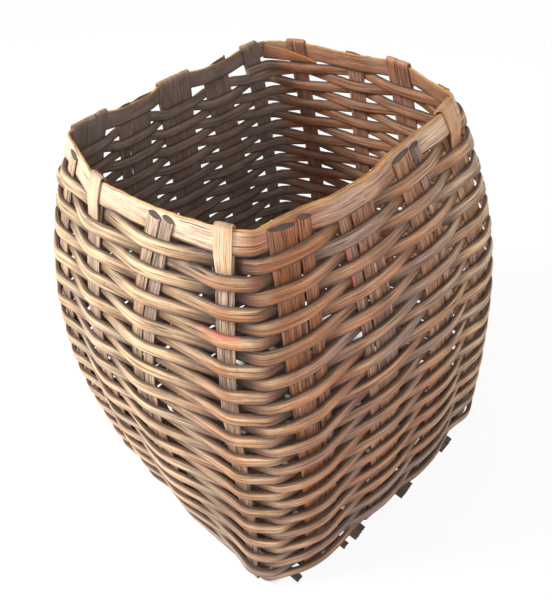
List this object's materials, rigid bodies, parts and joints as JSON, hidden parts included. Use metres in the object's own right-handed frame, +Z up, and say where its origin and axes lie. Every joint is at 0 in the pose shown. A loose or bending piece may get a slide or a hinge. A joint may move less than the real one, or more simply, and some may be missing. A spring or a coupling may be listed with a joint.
{
  "type": "splint basket",
  "caption": "Open-topped woven splint basket with bowed walls: flat stakes cross in the floor, turn up the walls and fold over a wide rim band round a spiral weaver.",
  "frame": {"origin": "middle of the basket's plan, on the surface that it stands on", "axes": "+Z up; +X towards the wall with the inner rim ply and the standing-out slat ends; +Y along that wall, towards the far corner of the picture"},
  "size_m": [0.3467, 0.3864, 0.4139],
  "materials": {
    "weaver_splint": "aged satin",
    "stake_splint": "aged matte",
    "rim_splint": "aged satin",
    "weathered_slat": "weathered matte"
  },
  "bodies": {
    "root": {"long_stake_1": "stake_splint", "long_stake_2": "stake_splint", "long_stake_3a": "stake_splint", "long_stake_3b": "stake_splint", "long_stake_4": "stake_splint", "cross_stake_1a": "stake_splint", "cross_stake_1b": "stake_splint", "cross_stake_2a": "stake_splint", "cross_stake_2b": "stake_splint", "cross_stake_3a": "stake_splint", "cross_stake_3b": "stake_splint", "cross_stake_4": "stake_splint", "corner_stake": "stake_splint", "base_slat_1": "weathered_slat", "base_slat_2": "weathered_slat", "base_slat_3": "weathered_slat", "base_slat_4": "weathered_slat", "base_slat_5": "weathered_slat", "floor_filler_1": "stake_splint", "floor_filler_2": "stake_splint", "weaver_01": "weaver_splint", "weaver_02": "weaver_splint", "weaver_03": "weaver_splint", "weaver_04": "weaver_splint", "weaver_05": "weaver_splint", "weaver_06": "weaver_splint", "weaver_07": "weaver_splint", "weaver_08": "weaver_splint", "weaver_09": "weaver_splint", "weaver_10": "weaver_splint", "weaver_11": "weaver_splint", "weaver_12": "weaver_splint", "weaver_13": "weaver_splint", "weaver_14": "weaver_splint", "weaver_15": "weaver_splint", "weaver_16": "weaver_splint", "weaver_17": "weaver_splint", "rim_band": "rim_splint", "rim_inner_ply": "rim_splint"}
  },
  "joints": []
}
